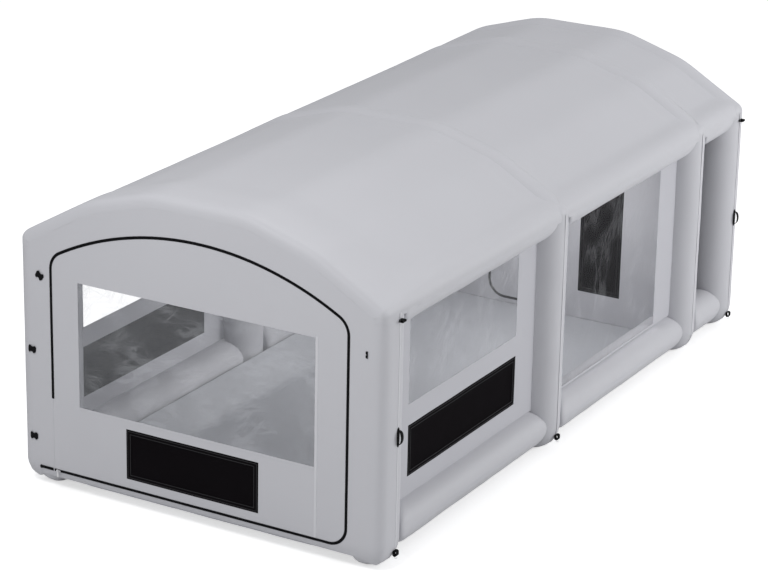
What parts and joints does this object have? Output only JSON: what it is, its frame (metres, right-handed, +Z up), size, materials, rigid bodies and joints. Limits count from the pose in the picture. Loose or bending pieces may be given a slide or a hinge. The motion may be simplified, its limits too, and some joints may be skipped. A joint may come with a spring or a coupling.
{
  "type": "inflatable paint booth",
  "caption": "Inflatable shelter on air-filled arches with clear side windows, black air filters, a zip door with a window, a rear filter partition and a tub-shaped floor.",
  "frame": {"origin": "on the ground under the middle of the whole object's box", "axes": "+Z up, -Y towards the zip door, +X to the right of someone who faces the door"},
  "size_m": [3.1196, 6.293, 2.4307],
  "materials": {
    "booth_fabric": "coated cloth, satin",
    "floor_fabric": "coated cloth, satin",
    "clear_film": "clear PVC film, glossy",
    "filter_cloth": "needled fibre mat, matt",
    "webbing": "woven webbing, matt",
    "zip_tape": "woven tape with coil teeth, matt",
    "zip_metal": "cast, satin"
  },
  "bodies": {
    "booth_frame": {"arch_front": "booth_fabric", "arch_second": "booth_fabric", "arch_third": "booth_fabric", "arch_rear": "booth_fabric", "base_tube_right_1": "booth_fabric", "eave_tube_right_1": "booth_fabric", "side_wall_right_1": "booth_fabric", "base_tube_right_2": "booth_fabric", "eave_tube_right_2": "booth_fabric", "side_wall_right_2": "booth_fabric", "base_tube_right_3": "booth_fabric", "eave_tube_right_3": "booth_fabric", "side_wall_right_3": "booth_fabric", "side_window_right_1": "clear_film", "side_window_right_2": "clear_film", "side_filter_right": "filter_cloth", "anchor_loop_front_right": "webbing", "anchor_loop_second_right": "webbing", "anchor_loop_rear_right": "webbing", "base_tube_left_1": "booth_fabric", "eave_tube_left_1": "booth_fabric", "side_wall_left_1": "booth_fabric", "base_tube_left_2": "booth_fabric", "eave_tube_left_2": "booth_fabric", "side_wall_left_2": "booth_fabric", "base_tube_left_3": "booth_fabric", "eave_tube_left_3": "booth_fabric", "side_wall_left_3": "booth_fabric", "side_window_left_1": "clear_film", "side_window_left_2": "clear_film", "side_filter_left": "filter_cloth", "anchor_loop_front_left": "webbing", "anchor_loop_second_left": "webbing", "anchor_loop_rear_left": "webbing", "roof_panel_1": "booth_fabric", "roof_panel_2": "booth_fabric", "roof_panel_3": "booth_fabric", "front_panel": "booth_fabric", "partition_wall": "booth_fabric", "rear_wall": "booth_fabric", "ventilation_sleeve": "booth_fabric", "inflation_sleeve": "booth_fabric", "partition_filter": "filter_cloth", "ground_sheet": "floor_fabric", "door_keeper": "webbing"},
    "front_door": {"front_door": "booth_fabric", "door_window": "clear_film", "door_filter": "filter_cloth", "door_zip": "zip_tape"},
    "zip_slider": {"zip_slider": "zip_metal"},
    "zip_pull": {"zip_pull": "zip_metal"},
    "partition_door": {"partition_door": "booth_fabric"},
    "partition_zip_slider": {"partition_zip_slider": "zip_metal"},
    "tie_back_top": {"tie_back_top": "webbing"},
    "tie_back_middle": {"tie_back_middle": "webbing"},
    "tie_back_bottom": {"tie_back_bottom": "webbing"},
    "carry_handle_front_right": {"carry_handle_front_right": "webbing"},
    "carry_handle_front_left": {"carry_handle_front_left": "webbing"},
    "carry_handle_rear_right": {"carry_handle_rear_right": "webbing"},
    "carry_handle_rear_left": {"carry_handle_rear_left": "webbing"}
  },
  "joints": [
    {"name": "front_door_swing", "type": "hinge", "parent": "booth_frame", "child": "front_door", "pos_m": [-1.256, -3.12732, 1], "axis": [0, 0, -1], "range_deg": [0, 110]},
    {"name": "zip_slide", "type": "slide", "parent": "front_door", "child": "zip_slider", "axis": [1, 0, 0], "range_m": [0, 2.28]},
    {"name": "zip_pull_swing", "type": "hinge", "parent": "zip_slider", "child": "zip_pull", "pos_m": [-1.205, -3.14192, 0.156], "axis": [-1, 0, 0], "range_deg": [0, 150]},
    {"name": "partition_door_swing", "type": "hinge", "parent": "booth_frame", "child": "partition_door", "pos_m": [0.202, 2.20808, 0.9], "axis": [0, 0, 1], "range_deg": [0, 100]},
    {"name": "partition_zip_slide", "type": "slide", "parent": "partition_door", "child": "partition_zip_slider", "axis": [-1, 0, 0], "range_m": [0, 0.36]},
    {"name": "tie_back_top_lift", "type": "hinge", "parent": "booth_frame", "child": "tie_back_top", "pos_m": [-1.34, -3.12882, 1.675], "axis": [-1, 0, 0], "range_deg": [0, 90]},
    {"name": "tie_back_middle_lift", "type": "hinge", "parent": "booth_frame", "child": "tie_back_middle", "pos_m": [-1.42087, -3.10117, 1.095], "axis": [-0.8744, 0.4853, 0], "range_deg": [0, 90]},
    {"name": "tie_back_bottom_lift", "type": "hinge", "parent": "booth_frame", "child": "tie_back_bottom", "pos_m": [-1.42087, -3.10117, 0.415], "axis": [-0.8744, 0.4853, 0], "range_deg": [0, 90]},
    {"name": "carry_handle_front_right_swing", "type": "hinge", "parent": "booth_frame", "child": "carry_handle_front_right", "pos_m": [1.5283, -2.92122, 0.975], "axis": [0, 0, 1], "range_deg": [-60, 60]},
    {"name": "carry_handle_front_left_swing", "type": "hinge", "parent": "booth_frame", "child": "carry_handle_front_left", "pos_m": [-1.5283, -2.92122, 0.975], "axis": [0, 0, 1], "range_deg": [-60, 60]},
    {"name": "carry_handle_rear_right_swing", "type": "hinge", "parent": "booth_frame", "child": "carry_handle_rear_right", "pos_m": [1.5283, 2.74978, 0.975], "axis": [0, 0, 1], "range_deg": [-60, 60]},
    {"name": "carry_handle_rear_left_swing", "type": "hinge", "parent": "booth_frame", "child": "carry_handle_rear_left", "pos_m": [-1.5283, 2.74978, 0.975], "axis": [0, 0, 1], "range_deg": [-60, 60]}
  ]
}
